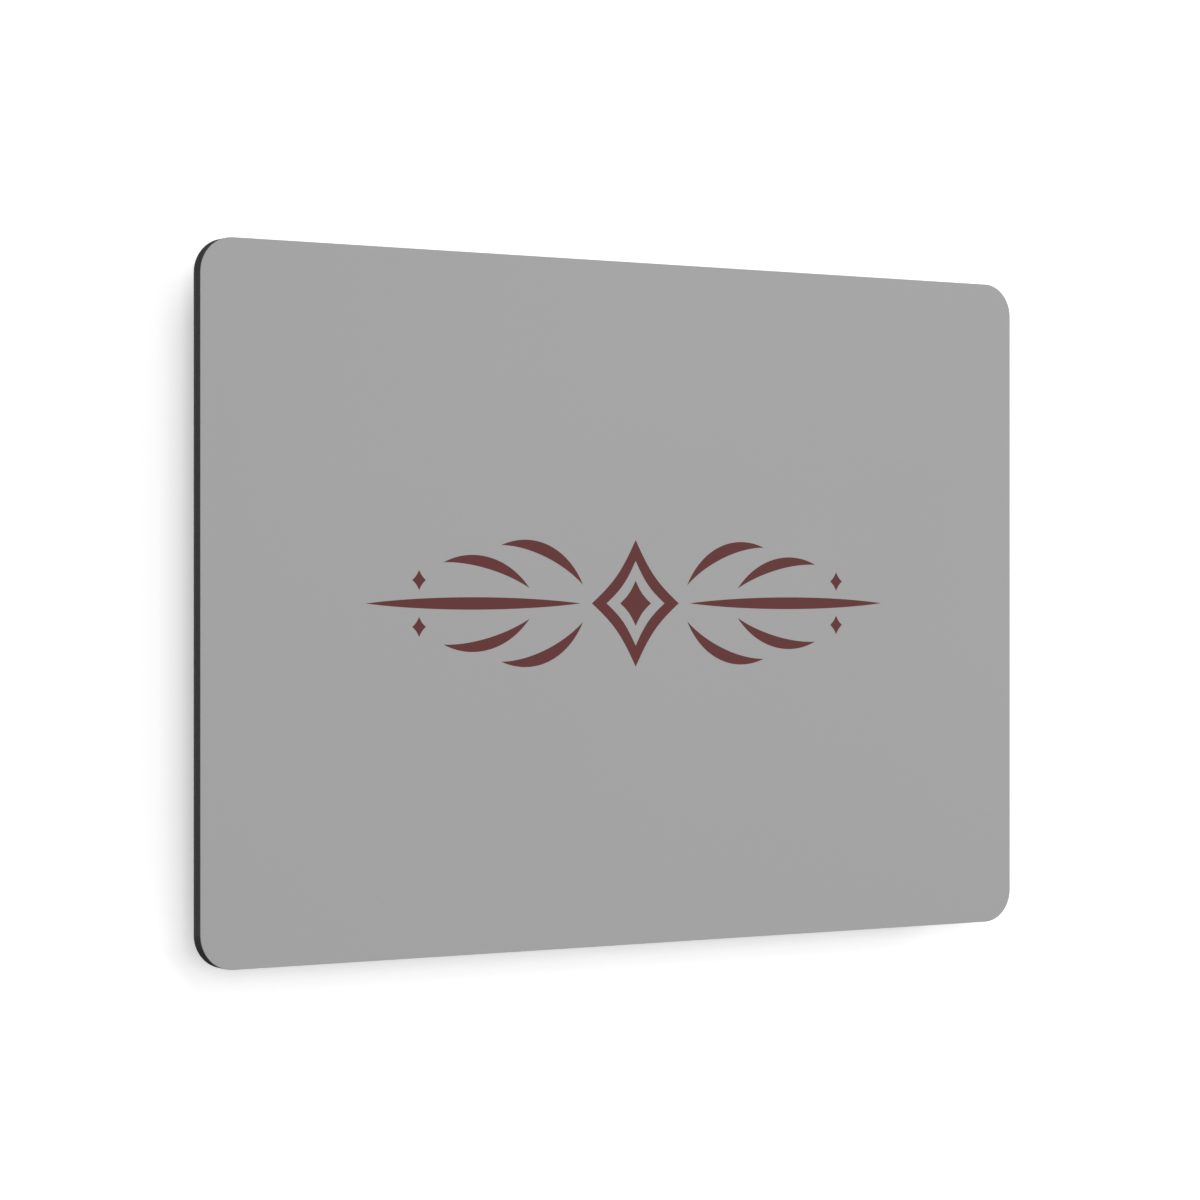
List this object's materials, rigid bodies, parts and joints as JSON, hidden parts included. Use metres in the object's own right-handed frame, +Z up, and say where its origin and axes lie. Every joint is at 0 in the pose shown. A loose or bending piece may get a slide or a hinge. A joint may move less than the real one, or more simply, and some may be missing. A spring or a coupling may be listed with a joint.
{
  "type": "wall name plate",
  "caption": "Rounded rectangular name plate that floats off a wall on a hooked rail and rubber spacers, with a plain grey face and a dark edge.",
  "frame": {"origin": "on the wall, at the middle of the wall rail's back face", "axes": "+X to the right as seen from the front, +Y into the wall, +Z up; the printed face looks towards -Y"},
  "size_m": [0.1778, 0.043, 0.127],
  "materials": {
    "printed_face": "satin",
    "panel_core": "matte",
    "back_sheet": "satin",
    "foam_tape": "matte",
    "rail": "satin",
    "spacer": "matte",
    "screw": "satin",
    "plug": "matte"
  },
  "bodies": {
    "wall_mount": {"wall_rail": "rail", "left_wall_screw": "screw", "right_wall_screw": "screw", "left_wall_plug": "plug", "right_wall_plug": "plug"},
    "name_plate": {"face_sheet": "printed_face", "panel_core": "panel_core", "back_sheet": "back_sheet", "panel_rail_tape": "foam_tape", "panel_rail": "rail", "left_spacer_tape": "foam_tape", "right_spacer_tape": "foam_tape", "left_wall_spacer": "spacer", "right_wall_spacer": "spacer"}
  },
  "joints": [
    {"name": "lift_off", "type": "slide", "parent": "wall_mount", "child": "name_plate", "axis": [0, 0, 1], "range_m": [0, 0.012]}
  ]
}
